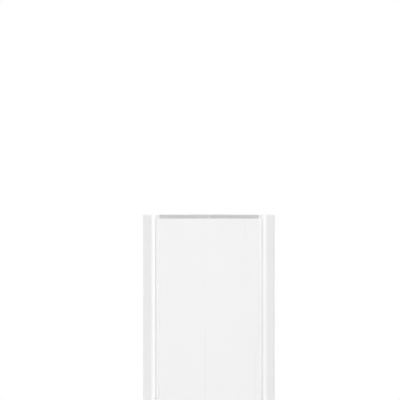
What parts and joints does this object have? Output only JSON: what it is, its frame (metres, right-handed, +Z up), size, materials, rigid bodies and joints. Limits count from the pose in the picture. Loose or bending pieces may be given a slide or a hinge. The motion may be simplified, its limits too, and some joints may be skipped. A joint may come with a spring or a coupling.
{
  "type": "corner cable raceway",
  "caption": "Corner cable raceway: a white two-legged channel that sticks into a room's corner, closed by a flat snap-in cover that slides along its ledges.",
  "frame": {"origin": "middle of the section's width and depth, on the lower sawn end", "axes": "+Z up along the length, -Y out of the cover's front face, the room's corner line behind the part towards +Y, left and right walls at 45 degrees to X and Y"},
  "size_m": [0.0562, 0.032, 0.4],
  "materials": {
    "base_pvc": "satin extruded white PVC",
    "cover_pvc": "satin extruded white PVC",
    "foam_tape": "matt white foam tape with a tacky face"
  },
  "bodies": {
    "base": {"base_channel": "base_pvc", "left_adhesive_tape": "foam_tape", "right_adhesive_tape": "foam_tape"},
    "cover": {"snap_cover": "cover_pvc"}
  },
  "joints": [
    {"name": "cover_slide", "type": "slide", "parent": "base", "child": "cover", "axis": [0, 0, 1], "range_m": [0, 0.35]}
  ]
}
